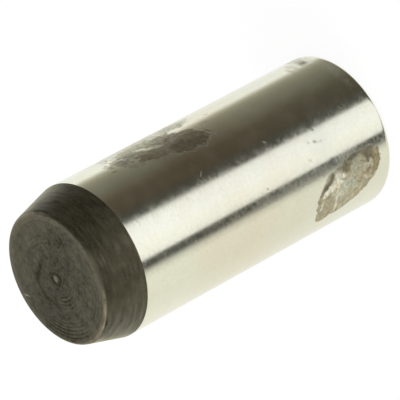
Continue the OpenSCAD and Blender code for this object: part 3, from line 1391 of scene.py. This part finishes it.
class Nodes:
    """Adds shader nodes to one tree and joins them up."""

    def __init__(self, tree: bpy.types.NodeTree) -> None:
        """Empties the tree.

        Args:
            tree: The node tree of a material or of the world.
        """
        self.tree = tree
        tree.nodes.clear()

    def add(self, kind: str, inputs: dict | None = None, **settings: object) -> bpy.types.Node:
        """Adds a node.

        Args:
            kind: Its type, without the leading ShaderNode.
            inputs: Values or sockets for its inputs, by name or by number.
            settings: Values for its own properties.

        Returns:
            The node.
        """
        node = self.tree.nodes.new("ShaderNode" + kind)
        for name, value in settings.items():
            setattr(node, name, value)
        for name, value in (inputs or {}).items():
            if isinstance(value, Socket):
                self.tree.links.new(value, node.inputs[name])
            else:
                node.inputs[name].default_value = value
        return node

    def math(self, operation: str, *values: Value) -> Socket:
        """The result of a sum, product or other operation on values or sockets."""
        return self.add("Math", dict(enumerate(values)), operation=operation).outputs[0]

    def blend(self, share: Value, low: Value, high: Value) -> Socket:
        """The number that lies the given share of the way from low to high."""
        return self.add("Mix", {0: share, 2: low, 3: high}, data_type="FLOAT").outputs[0]

    def tint(self, share: Value, low: Paint, high: Paint, how: str = "MIX") -> Socket:
        """The colour that lies the given share of the way from low to high, or to their product."""
        sides = {6: opaque(low), 7: opaque(high)}
        return self.add("Mix", {0: share, **sides}, data_type="RGBA", blend_type=how).outputs[2]

    def ramp(self, value: Value, low: float, high: float, start: float = 0.0, end: float = 1.0) -> Socket:
        """The value carried from the range low..high to start..end, with flat ends."""
        inputs = {0: value, 1: low, 2: high, 3: start, 4: end}
        return self.add("MapRange", inputs, interpolation_type="SMOOTHSTEP").outputs[0]

    def stretched(self, place: Socket, cell: tuple[float, float, float]) -> Socket:
        """Places divided by a cell's three sides, which makes them places in cells."""
        return self.add("Mapping", {0: place, 3: tuple(1.0 / side for side in cell)}).outputs[0]

    def leaning(self, place: Socket, long: float, short: float, lean: float) -> Socket:
        """Flat places in cells that are long along one direction and short across it.

        Args:
            place: The flat places.
            long: The cell's long side.
            short: The cell's short side.
            lean: Degrees from the first direction to the long side.

        Returns:
            Places in cells.
        """
        turned = self.add("Mapping", {0: place, 2: (0.0, 0.0, -math.radians(lean))}).outputs[0]
        return self.stretched(turned, (long, short, 1.0))

    def round_axis(self, place: Socket, cells: float, step: float) -> Socket:
        """Places in cells that are long round the axis Z and short along a turned section.

        The first two parts are the point's direction from the axis, times cells / 2 pi, so there
        are that many cells in a turn, with no seam. The third is (Z - radius) / step.

        Args:
            place: Places in the piece's own axes, in metres.
            cells: Cells in one turn.
            step: The cell's side along the section, in metres.

        Returns:
            Places in cells.
        """
        parts = self.add("SeparateXYZ", {0: place}).outputs
        flat = self.add("CombineXYZ", {0: parts[0], 1: parts[1]}).outputs[0]
        radius = self.add("VectorMath", {0: flat}, operation="LENGTH").outputs[1]
        way = self.add("VectorMath", {0: flat}, operation="NORMALIZE").outputs[0]
        wide = self.add("VectorMath", {0: way, 3: cells / (2.0 * math.pi)}, operation="SCALE").outputs[0]
        along = self.math("DIVIDE", self.math("SUBTRACT", parts[2], radius), step)
        height = self.add("CombineXYZ", {2: along}).outputs[0]
        return self.add("VectorMath", {0: wide, 1: height}, operation="ADD").outputs[0]

    def line(self, place: Socket, scratch: Scratch) -> Socket:
        """A thin straight mark on flat places: 1 along its middle, falling to 0 at its sides and ends.

        The place is moved to the scratch's middle, turned by its lean and divided by its half
        sizes. The distance that is left is 1 where the mark ends, and inside its core it is full.

        Args:
            place: The flat places, in the scratch's unit.
            scratch: The scratch.

        Returns:
            The mark's strength.
        """
        moved = self.add("Mapping", {0: place, 1: (-scratch.across, -scratch.up, 0.0)}).outputs[0]
        turned = self.add("Mapping", {0: moved, 2: (0.0, 0.0, -math.radians(scratch.lean))}).outputs[0]
        per_half = (1.0 / scratch.half_length, 1.0 / scratch.half_width, 0.0)
        shares = self.add("Mapping", {0: turned, 3: per_half}).outputs[0]
        distance = self.add("VectorMath", {0: shares}, operation="LENGTH").outputs[1]
        return self.ramp(distance, 1.0, SCRATCH_CORE)

    def noise(self, place: Socket, detail: float = 2.0, roughness: float = 0.5) -> Socket:
        """Noise about one unit across, mostly between 0.3 and 0.7."""
        inputs = {"Vector": place, "Scale": 1.0, "Detail": detail, "Roughness": roughness}
        return self.add("TexNoise", inputs).outputs[0]

    def lumps(self, place: Socket, size: float, detail: float = 3.0, roughness: float = 0.6) -> Socket:
        """Noise in lumps of about the given size, in metres."""
        return self.noise(self.stretched(place, (size, size, size)), detail, roughness)

    def bump(self, height: Socket) -> Socket:
        """The normal of a surface that is raised by a height in metres."""
        return self.add("Bump", {"Strength": 1.0, "Distance": 1.0, "Height": height}).outputs[0]

    def held(self, name: str, output: str = "Fac") -> Socket:
        """A value that the skin's points hold."""
        return self.add("Attribute", attribute_name=name).outputs[output]

    def surface(self, kind: str, inputs: dict) -> None:
        """Ends a material's tree with a shader of the given kind."""
        self.add("OutputMaterial", {"Surface": self.add(kind, inputs).outputs[0]})


def opaque(colour: Paint | Value) -> tuple[float, ...] | Value:
    """A colour of three numbers with its fourth, or a socket or a grey as it is."""
    return (*colour, 1.0) if isinstance(colour, tuple) else colour


def new_material(name: str) -> tuple[bpy.types.Material, Nodes]:
    """A new material, and what adds nodes to its empty tree."""
    made = bpy.data.materials.new(name)
    made.use_nodes = True
    return made, Nodes(made.node_tree)


def set_out(name: str, data: bpy.types.ID) -> bpy.types.Object:
    """A new object in the scene, made of a mesh, a lamp or a camera."""
    made = bpy.data.objects.new(name, data)
    bpy.context.scene.collection.objects.link(made)
    return made


@dataclass(frozen=True)
class GroundSteel:
    """Bright ground steel with fine crossing hairs, dried films, and dark spots and pits.

    The lengths of hairs and clumps are in millimetres, and other lengths in metres. A pair says
    where a change begins and where it is full: in height for those that end in from or until, but
    along Y for front_until, and in the noise or the film's own value for those that end in edge.
    The pairs front_warmth and mottling are the strengths at the two ends.
    """

    colour: Colour = (0.72, 0.72, 0.608)
    warm_colour: Colour = (0.72, 0.665, 0.53)
    roughness: float = 0.052
    dull_roughness: float = 0.085
    unevenness: float = 0.017
    dulling: float = 0.03
    cloud_size: float = 2.6 * MM
    cloud_roughness: float = 0.5
    grain_size: float = 0.22 * MM
    mottle_size: float = 0.30 * MM
    mottle_detail: float = 5.0
    mottle_roughness: float = 0.78
    mottling: Pair = (0.62, 1.38)
    drift_size: float = 0.9 * MM
    dull_from: Pair = (2.0 * MM, 6.0 * MM)
    warm_from: Pair = (7.0 * MM, 14.0 * MM)
    middle_until: Pair = (21.5 * MM, 17.0 * MM)
    front_until: Pair = (-5.92 * MM, -5.4 * MM)
    front_warmth: Pair = (0.35, 1.1)
    middle_warmth: float = 0.5
    cloud_warmth: float = 0.3
    frayed: float = 0.4
    film_edge: Pair = (0.2, 0.8)
    hair_roughness: float = 0.205
    scratch_roughness: float = 0.38
    hair_leans: tuple[float, ...] = (32.0, -38.0, 12.0)
    hair_length: float = 0.72
    hair_width: float = 0.062
    hair_detail: float = 0.6
    deep_hair_edge: Pair = (0.50, 0.70)
    clump_size: float = 1.3
    clump_edge: Pair = (0.36, 0.60)
    between_clumps: float = 0.6
    hair_height: float = 0.0003 * MM
    deep_hair_depth: float = 0.0002 * MM
    dust_and_sheen: float = 0.022
    dust_size: float = 1.3 * MM
    dust_and_sheen_edge: Pair = (0.42, 0.66)
    film_metal: float = 0.5
    film_roughness: float = 0.40
    film_height: float = 0.005 * MM
    ochre: Colour = (1.03, 0.99, 0.92)
    grey_green: Colour = (0.97, 1.0, 1.01)
    pit_colour: Colour = (0.16, 0.15, 0.12)
    pit_strength: float = 0.8

    def material(self) -> bpy.types.Material:
        """Makes the material.

        Returns:
            Metal whose roughness and warmth drift in broad clouds, a little warmer and duller along
            the middle of its length, under the hairs, the film and the dark spots.
        """
        made, n = new_material("ground_steel")
        place = n.add("TexCoord").outputs["Object"]
        side = n.add("UVMap", uv_map=SIDE_MAP).outputs[0]
        clouds = n.ramp(n.lumps(place, self.cloud_size, roughness=self.cloud_roughness), *NOISE_MIDDLE)
        grain = n.lumps(place, self.grain_size)
        mottle = n.lumps(place, self.mottle_size, self.mottle_detail, self.mottle_roughness)
        ragged = n.math("MULTIPLY_ADD", grain, self.frayed, -self.frayed / 2.0)
        film = n.ramp(n.math("ADD", n.held("film"), ragged), *self.film_edge)
        steel = self.bare_colour(n, place, clouds, grain)
        dried = self.dried_colour(n, place, mottle)
        spots = n.math("MULTIPLY", n.held("pit"), self.pit_strength)
        colour = n.tint(spots, n.tint(film, steel, dried), self.pit_colour)
        hairs, deep = self.hairs(n, side)
        bare = n.blend(deep, n.blend(clouds, self.roughness, self.dull_roughness), self.hair_roughness)
        for scratch in SCRATCHES:
            bare = n.blend(n.line(side, scratch), bare, self.scratch_roughness)
        roughness = n.blend(film, bare, self.film_roughness)
        dusty = n.ramp(n.lumps(place, self.dust_size), *self.dust_and_sheen_edge, 1.0, 1.0 - self.dust_and_sheen)
        height = n.math("MULTIPLY", hairs, self.hair_height)
        height = n.math("MULTIPLY_ADD", deep, -self.deep_hair_depth, height)
        height = n.math("MULTIPLY_ADD", n.math("MULTIPLY", film, mottle), self.film_height, height)
        inputs = {
            "Base Color": colour,
            "Metallic": n.blend(film, dusty, self.film_metal),
            "Roughness": roughness,
            "Normal": n.bump(height),
        }
        n.surface("BsdfPrincipled", inputs)
        return made

    def bare_colour(self, n: Nodes, place: Socket, clouds: Socket, grain: Socket) -> Socket:
        """The colour of the bare metal: warmer and duller in the middle of its length, and uneven.

        Args:
            n: The material's nodes.
            place: Places in the piece's own axes.
            clouds: Broad noise between 0 and 1.
            grain: Fine noise.

        Returns:
            The colour.
        """
        along = n.add("SeparateXYZ", {0: place}).outputs
        up = along[2]
        until = n.ramp(up, *self.middle_until)
        warm = n.math("MINIMUM", n.ramp(up, *self.warm_from), until)
        warm = n.math("MULTIPLY", warm, n.ramp(along[1], *self.front_until, *self.front_warmth))
        clouded = n.math("MULTIPLY", clouds, self.cloud_warmth)
        warmth = n.math("MULTIPLY_ADD", warm, self.middle_warmth, clouded)
        dull = n.math("MINIMUM", n.ramp(up, *self.dull_from), until)
        light = n.ramp(grain, *NOISE_RANGE, 1.0 - self.unevenness, 1.0 + self.unevenness)
        light = n.math("MULTIPLY_ADD", dull, -self.dulling, light)
        return n.tint(1.0, n.tint(warmth, self.colour, self.warm_colour), light, "MULTIPLY")

    def dried_colour(self, n: Nodes, place: Socket, mottle: Socket) -> Socket:
        """The colour of a dried film, or of the painted reflection laid like one: its tint, mottled, and
        drifting from ochre to grey-green.

        Args:
            n: The material's nodes.
            place: Places in the piece's own axes.
            mottle: Fine noise.

        Returns:
            The colour.
        """
        mottled = n.ramp(mottle, *NOISE_RANGE, *self.mottling)
        dried = n.tint(1.0, n.held("film_tint", "Color"), mottled, "MULTIPLY")
        drift = n.ramp(n.lumps(place, self.drift_size), *NOISE_MIDDLE)
        return n.tint(1.0, dried, n.tint(drift, self.ochre, self.grey_green), "MULTIPLY")

    def hairs(self, n: Nodes, side: Socket) -> tuple[Socket, Socket]:
        """Fine hairs that cross one another, and the deeper of them, which lie in clumps.

        Args:
            n: The material's nodes.
            side: Places on the side.

        Returns:
            The sum of the hairs, and 1 in the deepest of them and 0 between.
        """
        total, deepest = 0.0, 0.0
        for lean in self.hair_leans:
            hair = n.noise(n.leaning(side, self.hair_length, self.hair_width, lean), self.hair_detail)
            total = n.math("ADD", total, hair)
            deepest = n.math("MAXIMUM", deepest, n.ramp(hair, *self.deep_hair_edge))
        clumps = n.noise(n.stretched(side, (self.clump_size, self.clump_size, 1.0)))
        clumped = n.ramp(clumps, *self.clump_edge, self.between_clumps, 1.0)
        return total, n.math("MULTIPLY", deepest, clumped)


@dataclass(frozen=True)
class BlackScale:
    """The black scale that hardening leaves on turned steel, worn along the edge of its end.

    Lengths are in metres, and streak_cells is how many cells of the streaks' noise go round. A
    pair says where a change begins and where it is full: in the shade for shade_edge and
    bare_edge, in how far aside it is seen, from 0 to 1, for aside_edge and dust_and_sheen_edge, and in the
    noise for the others.
    """

    dark_colour: Colour = (0.006, 0.0045, 0.0025)
    light_colour: Colour = (0.080, 0.073, 0.048)
    # The colour seen aside, and the dust colour and share below, are a painted sheen: browner and then paler
    # where the scale is seen from the side
    aside_colour: Colour = (0.080, 0.071, 0.028)
    worn_colour: Colour = (0.37, 0.318, 0.225)
    scratch_colour: Colour = (0.25, 0.24, 0.19)
    sheen_colour: Colour = (0.44, 0.41, 0.19)
    dust_and_sheen: float = 0.32
    noise_share: float = 0.45
    tone_share: float = 0.5
    shade_shift: float = -0.515
    shade_edge: Pair = (-0.2, 0.9)
    aside_edge: Pair = (0.45, 0.72)
    dust_and_sheen_edge: Pair = (0.70, 0.88)
    worn_edge: Pair = (0.25, 0.6)
    least_worn: float = 0.5
    bare_edge: Pair = (0.02, -0.36)
    bare_metal: float = 0.6
    worn_metal: float = 0.4
    dull_edge: Pair = (0.8, 1.2)
    cloud_size: float = 1.5 * MM
    cloud_detail: float = 4.0
    grain_size: float = 0.18 * MM
    streak_cells: float = 22.0
    streak_step: float = 0.13 * MM
    streak_detail: float = 3.0
    streak_roughness: float = 0.6
    tint: Colour = (1.0, 0.92, 0.615)
    index: float = 1.55
    roughness: float = 0.36
    dull_roughness: float = 0.46
    streak_height: float = 0.004 * MM
    grain_height: float = 0.003 * MM

    def material(self) -> bpy.types.Material:
        """Makes the material.

        Returns:
            Dark scale in streaks that follow the turning, with a fine grain, rubbed thin where the
            skin is worn, and browner and then paler where it is seen from the side: a painted sheen.
        """
        made, n = new_material("black_scale")
        place = n.add("TexCoord").outputs["Object"]
        clouds = n.lumps(place, self.cloud_size, self.cloud_detail)
        grain = n.lumps(place, self.grain_size)
        cells = n.round_axis(place, self.streak_cells, self.streak_step)
        streaks = n.noise(cells, self.streak_detail, self.streak_roughness)
        shade = self.shade_shift
        for part in (clouds, streaks, grain):
            shade = n.math("MULTIPLY_ADD", part, self.noise_share, shade)
        shade = n.math("MULTIPLY_ADD", n.held("tone"), self.tone_share, shade)

        # Painted sheen: the scale turns browner and then paler where it is seen from the side
        aside = n.add("LayerWeight", {"Blend": 0.5}).outputs["Facing"]
        light = n.tint(n.ramp(aside, *self.aside_edge), self.light_colour, self.aside_colour)
        scale = n.tint(n.ramp(shade, *self.shade_edge), self.dark_colour, light)
        worn = n.math("MULTIPLY", n.held("worn"), n.ramp(grain, *self.worn_edge, self.least_worn, 1.0))
        colour = n.tint(worn, scale, self.worn_colour)
        colour = n.tint(n.line(place, FACE_SCRATCH), colour, self.scratch_colour)
        colour = n.tint(n.ramp(aside, *self.dust_and_sheen_edge, 0.0, self.dust_and_sheen), colour, self.sheen_colour)
        bare = n.ramp(shade, *self.bare_edge, 0.0, self.bare_metal)
        height = n.math("MULTIPLY", grain, self.grain_height)
        height = n.math("MULTIPLY_ADD", streaks, self.streak_height, height)
        dull = n.math("ADD", streaks, clouds)
        inputs = {
            "Base Color": colour,
            "Metallic": n.math("MULTIPLY_ADD", worn, self.worn_metal, bare),
            "Roughness": n.ramp(dull, *self.dull_edge, self.roughness, self.dull_roughness),
            "IOR": self.index,
            "Specular Tint": opaque(self.tint),
            "Normal": n.bump(height),
        }
        n.surface("BsdfPrincipled", inputs)
        return made


@dataclass
class DowelPin:
    """The finished pin: its skin in its two finishes."""

    skin: PinSkin
    ground: GroundSteel = field(default_factory=GroundSteel)
    scale: BlackScale = field(default_factory=BlackScale)

    def build(self) -> bpy.types.Object:
        """Makes the pin and stands it for the solid.

        Returns:
            The finished piece.
        """
        mesh = self.skin.mesh()
        mesh.materials.append(self.ground.material())
        mesh.materials.append(self.scale.material())
        mesh.shade_smooth()
        piece = set_out("pin_surface", mesh)
        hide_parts(NODE)
        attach(piece, BODY)
        return piece


# ---------------------------------------------------------------- studio


@dataclass(frozen=True)
class Wall:
    """The light of the studio's wall at one azimuth. Between two of them it changes evenly."""

    azimuth: float
    light: float
    tint: Colour = WHITE


WARM = (1.0, 1.0, 0.93)
CREAM = (1.0, 1.01, 0.98)
YELLOW = (1.0, 0.99, 0.88)
COOL = (1.0, 1.02, 1.06)
GREY_GREEN = (0.99, 1.0, 0.92)
BROWN = (1.05, 0.96, 0.71)
OLIVE_GREY = (1.02, 0.99, 0.80)

# A pale tent with two dark gaps: a narrow one on the left and a wide one on the right
TENT = (
    Wall(-90, 0.98, WARM),
    Wall(-62, 1.0, WARM),
    Wall(-54, 0.82, GREY_GREEN),
    Wall(-50, 0.56, GREY_GREEN),
    Wall(-47, 0.25, GREY_GREEN),
    Wall(-44, 0.100, GREY_GREEN),
    Wall(-38.6, 0.098, GREY_GREEN),
    Wall(-36.2, 0.20, GREY_GREEN),
    Wall(-33.4, 1.10),
    Wall(-27, 1.19),
    Wall(-16, 1.24),
    Wall(-8, 1.24, COOL),
    Wall(10, 1.19, COOL),
    Wall(17.8, 1.08, COOL),
    Wall(20.4, 0.36, GREY_GREEN),
    Wall(22.8, 0.12, GREY_GREEN),
    Wall(26, 0.074, GREY_GREEN),
    Wall(42, 0.082, BROWN),
    Wall(60, 0.10, BROWN),
    Wall(76, 0.17, OLIVE_GREY),
    Wall(92, 0.235, OLIVE_GREY),
    Wall(106, 0.31, OLIVE_GREY),
    Wall(115, 0.47, OLIVE_GREY),
    Wall(121, 0.84, WARM),
    Wall(126, 1.10, CREAM),
    Wall(140, 1.02, CREAM),
    Wall(165, 0.97, CREAM),
    Wall(180, 0.88, YELLOW),
    Wall(200, 0.95, WARM),
    Wall(225, 0.99, WARM),
    Wall(270, 0.97, WARM),
)


@dataclass
class Studio:
    """A pale tent over a plain floor, with one soft lamp and a camera with a long lens.

    A height on the tent is the height part of the unit vector towards it, and azimuths and angles
    are in degrees. A pair says where a change begins and where it is full: in azimuth for those
    whose name has azimuth in it, and in height for the others.
    """

    target: Vector
    floor_size: float = 4.0
    floor_drop: float = -0.01 * MM
    paint: float = 0.95
    shadow_share: float = 0.12
    diffuse_level: float = 0.8
    top_level: float = 0.55
    lower_rise: float = 1.05
    upper_tint: Colour = (1.0, 0.98, 0.92)
    gap_tint: Colour = (1.07, 0.95, 0.955)
    upper_shift: float = 9.0
    lean: float = 130.0
    left_lean: float = 0.35
    lean_from: float = -0.566
    lean_foot: float = -0.606
    lean_top: float = -0.53
    left_azimuth: Pair = (-66.0, -50.0)
    left_azimuth_back: Pair = (-38.0, -45.0)
    near_azimuth: Pair = (-20.0, 0.0)
    near_azimuth_back: Pair = (75.0, 45.0)
    far_azimuth: Pair = (92.0, 108.0)
    brown_azimuth: Pair = (26.0, 40.0)
    brown_azimuth_back: Pair = (84.0, 64.0)
    foot: Pair = (-0.62, -0.56)
    brown_from: Pair = (-0.604, -0.585)
    upper_from: Pair = (-0.45, -0.2)
    top_from: Pair = (0.15, 0.75)
    lamp_power: float = 0.9
    lamp_distance: float = 0.6
    lamp_size: float = 0.35
    lamp_azimuth: float = -95.0
    lamp_height_angle: float = 48.0
    camera_distance: float = 311.5 * MM
    camera_elevation: float = 35.4
    camera_roll: float = -118.3
    field_of_view: float = 5.34

    def build(self) -> None:
        """Makes the tent, the floor, the lamp and the camera."""
        bpy.context.scene.view_settings.view_transform = "Standard"
        self.tent()
        self.floor()
        self.lamp()
        self.camera()

    def tent(self) -> None:
        """Lights the world as a tent: white to the camera, walls to metal, and plain light to the rest.

        The radial gradient gives the share of a turn from azimuth -90. The walls are a little
        dimmer at their foot and dimmer again towards the top.
        """
        world = bpy.data.worlds.new("tent")
        bpy.context.scene.world = world
        world.use_nodes = True
        n = Nodes(world.node_tree)
        way = n.add("TexCoord").outputs["Generated"]
        height = n.add("SeparateXYZ", {0: way}).outputs[2]
        share = n.add("TexGradient", {0: way}, gradient_type="RADIAL").outputs["Fac"]
        upper = n.ramp(height, *self.upper_from)
        top = n.ramp(height, *self.top_from)
        ramp = n.add("ValToRGB", {0: self.wall_place(n, share, height, upper)})
        self.hang(ramp.color_ramp.elements)
        walls = n.tint(1.0, ramp.outputs[0], self.wall_tint(n, share, height, upper, top), "MULTIPLY")
        strength = n.ramp(height, *self.foot, 1.0, self.lower_rise)
        strength = n.math("MULTIPLY", strength, n.blend(top, 1.0, self.top_level))

        white, metal, plain = (
            n.add("Background", {"Color": opaque(colour), "Strength": light}).outputs[0]
            for colour, light in ((WHITE, 1.0), (walls, strength), (WHITE, self.diffuse_level))
        )
        ray = n.add("LightPath").outputs
        seen = n.math("MAXIMUM", ray["Is Camera Ray"], ray["Is Transmission Ray"])
        lit = n.add("MixShader", {0: ray["Is Glossy Ray"], 1: plain, 2: metal}).outputs[0]
        n.add("OutputWorld", {"Surface": n.add("MixShader", {0: seen, 1: lit, 2: white}).outputs[0]})

    def wall_place(self, n: Nodes, share: Socket, height: Socket, upper: Socket) -> Socket:
        """The share of a turn at which a way meets the walls, after the gaps' edges have leaned.

        The near edge of the wide gap moves by lean degrees for each unit that the height lies under
        lean_from, and the far edge of the narrow gap by a share of that. Higher up, the wide gap is
        wider by upper_shift degrees.

        Args:
            n: The world's nodes.
            share: Share of a turn.
            height: Height on the tent.
            upper: How far up the tent the way points, from 0 to 1.

        Returns:
            The share of a turn to look the walls up at.
        """
        left = over(n, share, *self.left_azimuth, self.left_lean)
        left = n.math("MINIMUM", left, over(n, share, *self.left_azimuth_back, self.left_lean))
        edges = n.math("ADD", left, over(n, share, *self.near_azimuth))
        edges = n.math("MULTIPLY", edges, over(n, share, *self.near_azimuth_back))
        low = n.math("MAXIMUM", n.math("MINIMUM", height, self.lean_top), self.lean_foot)
        lean = n.math("MULTIPLY_ADD", low, -self.lean / 360.0, self.lean_from * self.lean / 360.0)
        far_edge = n.math("MULTIPLY", over(n, share, *self.far_azimuth), upper)
        place = n.math("MULTIPLY_ADD", far_edge, -self.upper_shift / 360.0, share)
        return n.math("MULTIPLY_ADD", edges, lean, place)

    def wall_tint(self, n: Nodes, share: Socket, height: Socket, upper: Socket, top: Socket) -> Socket:
        """The tint of the walls: warmer higher up, plain at the top, and browner in the wide gap.

        The gap's foot keeps the walls' own tint.

        Args:
            n: The world's nodes.
            share: Share of a turn.
            height: Height on the tent.
            upper: How far up the tent the way points, from 0 to 1.
            top: How near the top it points, from 0 to 1.

        Returns:
            The tint that multiplies the walls' own.
        """
        tint = n.tint(top, n.tint(upper, WHITE, self.upper_tint), WHITE)
        gap = n.math("MULTIPLY", over(n, share, *self.brown_azimuth), n.ramp(height, *self.brown_from))
        gap = n.math("MULTIPLY", gap, over(n, share, *self.brown_azimuth_back))
        return n.tint(gap, tint, n.tint(1.0, tint, self.gap_tint, "MULTIPLY"))

    @staticmethod
    def hang(stops: bpy.types.bpy_prop_collection) -> None:
        """Puts the walls on the ramp's stops, in order round the tent.

        Args:
            stops: The stops of a new colour ramp.
        """
        while len(stops) > 1:
            stops.remove(stops[-1])
        stops[0].position = 0.0
        for wall in TENT[1:]:
            stops.new(turn_share(wall.azimuth))
        for stop, wall in zip(stops, TENT):
            stop.color = (*(wall.light * c for c in wall.tint), 1.0)

    def floor(self) -> None:
        """Lays a plain white floor that keeps a faint shadow and doesn't show in the metal."""
        half = self.floor_size / 2.0
        corners = [(x * half, y * half, self.floor_drop) for x, y in ((-1, -1), (1, -1), (1, 1), (-1, 1))]
        mesh = bpy.data.meshes.new("floor")
        mesh.from_pydata(corners, [], [(0, 1, 2, 3)])
        floor = set_out("floor", mesh)
        floor.visible_glossy = False
        made, n = new_material("floor_white")
        paint = n.add("BsdfDiffuse", {"Color": opaque((self.paint,) * 3)}).outputs[0]
        lit_share = self.shadow_share * self.paint * self.diffuse_level
        glow = (1.0 - lit_share) / (1.0 - self.shadow_share)
        white = n.add("Emission", {"Color": opaque(WHITE), "Strength": glow}).outputs[0]
        seen = n.math("MULTIPLY", n.add("LightPath").outputs["Is Camera Ray"], 1.0 - self.shadow_share)
        n.surface("MixShader", {0: seen, 1: paint, 2: white})
        mesh.materials.append(made)

    def lamp(self) -> None:
        """Hangs one soft lamp to the side, aimed at the pin."""
        data = bpy.data.lights.new("soft_lamp", "AREA")
        data.shape = "DISK"
        data.size = self.lamp_size
        data.energy = self.lamp_power
        lamp = set_out("soft_lamp", data)
        back = direction(self.lamp_azimuth, self.lamp_height_angle)
        lamp.location = self.target + back * self.lamp_distance
        lamp.rotation_euler = (-back).to_track_quat("-Z", "Y").to_euler()

    def camera(self) -> None:
        """Sets up the camera: straight ahead of azimuth 0, looking down, and rolled on its axis."""
        data = bpy.data.cameras.new("camera")
        data.angle = math.radians(self.field_of_view)
        camera = set_out("camera", data)
        back = direction(0.0, self.camera_elevation)
        level = Vector((1.0, 0.0, 0.0))
        upward = back.cross(level)
        roll = math.radians(self.camera_roll)
        right = level * math.cos(roll) + upward * math.sin(roll)
        up = back.cross(right)
        turned = Matrix((right, up, back)).transposed().to_4x4()
        camera.matrix_world = Matrix.Translation(self.target + back * self.camera_distance) @ turned
        bpy.context.scene.camera = camera


def turn_share(azimuth: float) -> float:
    """The share of a turn from azimuth -90 to the given one, in degrees."""
    return (azimuth + 90.0) / 360.0


def over(n: Nodes, share: Socket, start: float, end: float, full: float = 1.0) -> Socket:
    """A ramp round the tent, from 0 at one azimuth to full at another, in degrees."""
    return n.ramp(share, turn_share(start), turn_share(end), 0.0, full)


def direction(azimuth: float, elevation: float) -> Vector:
    """The unit vector towards an azimuth and an elevation, both in degrees."""
    a, e = math.radians(azimuth), math.radians(elevation)
    return Vector((math.sin(a) * math.cos(e), -math.cos(a) * math.cos(e), math.sin(e)))


def main() -> None:
    """Builds the pin and the studio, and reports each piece."""
    logging.basicConfig(level=logging.INFO, format="%(name)s: %(message)s")
    sizes = PinSizes.from_frame()
    pin = DowelPin(PinSkin(sizes)).build()
    log.info("%s: %d points, %d faces", pin.name, len(pin.data.vertices), len(pin.data.polygons))
    log.info("triangles: %d", sum(len(p.vertices) - 2 for p in pin.data.polygons))
    Studio(target=Vector((0.1 * MM, 0.0, 13.8 * MM))).build()


if __name__ == "__main__":
    main()
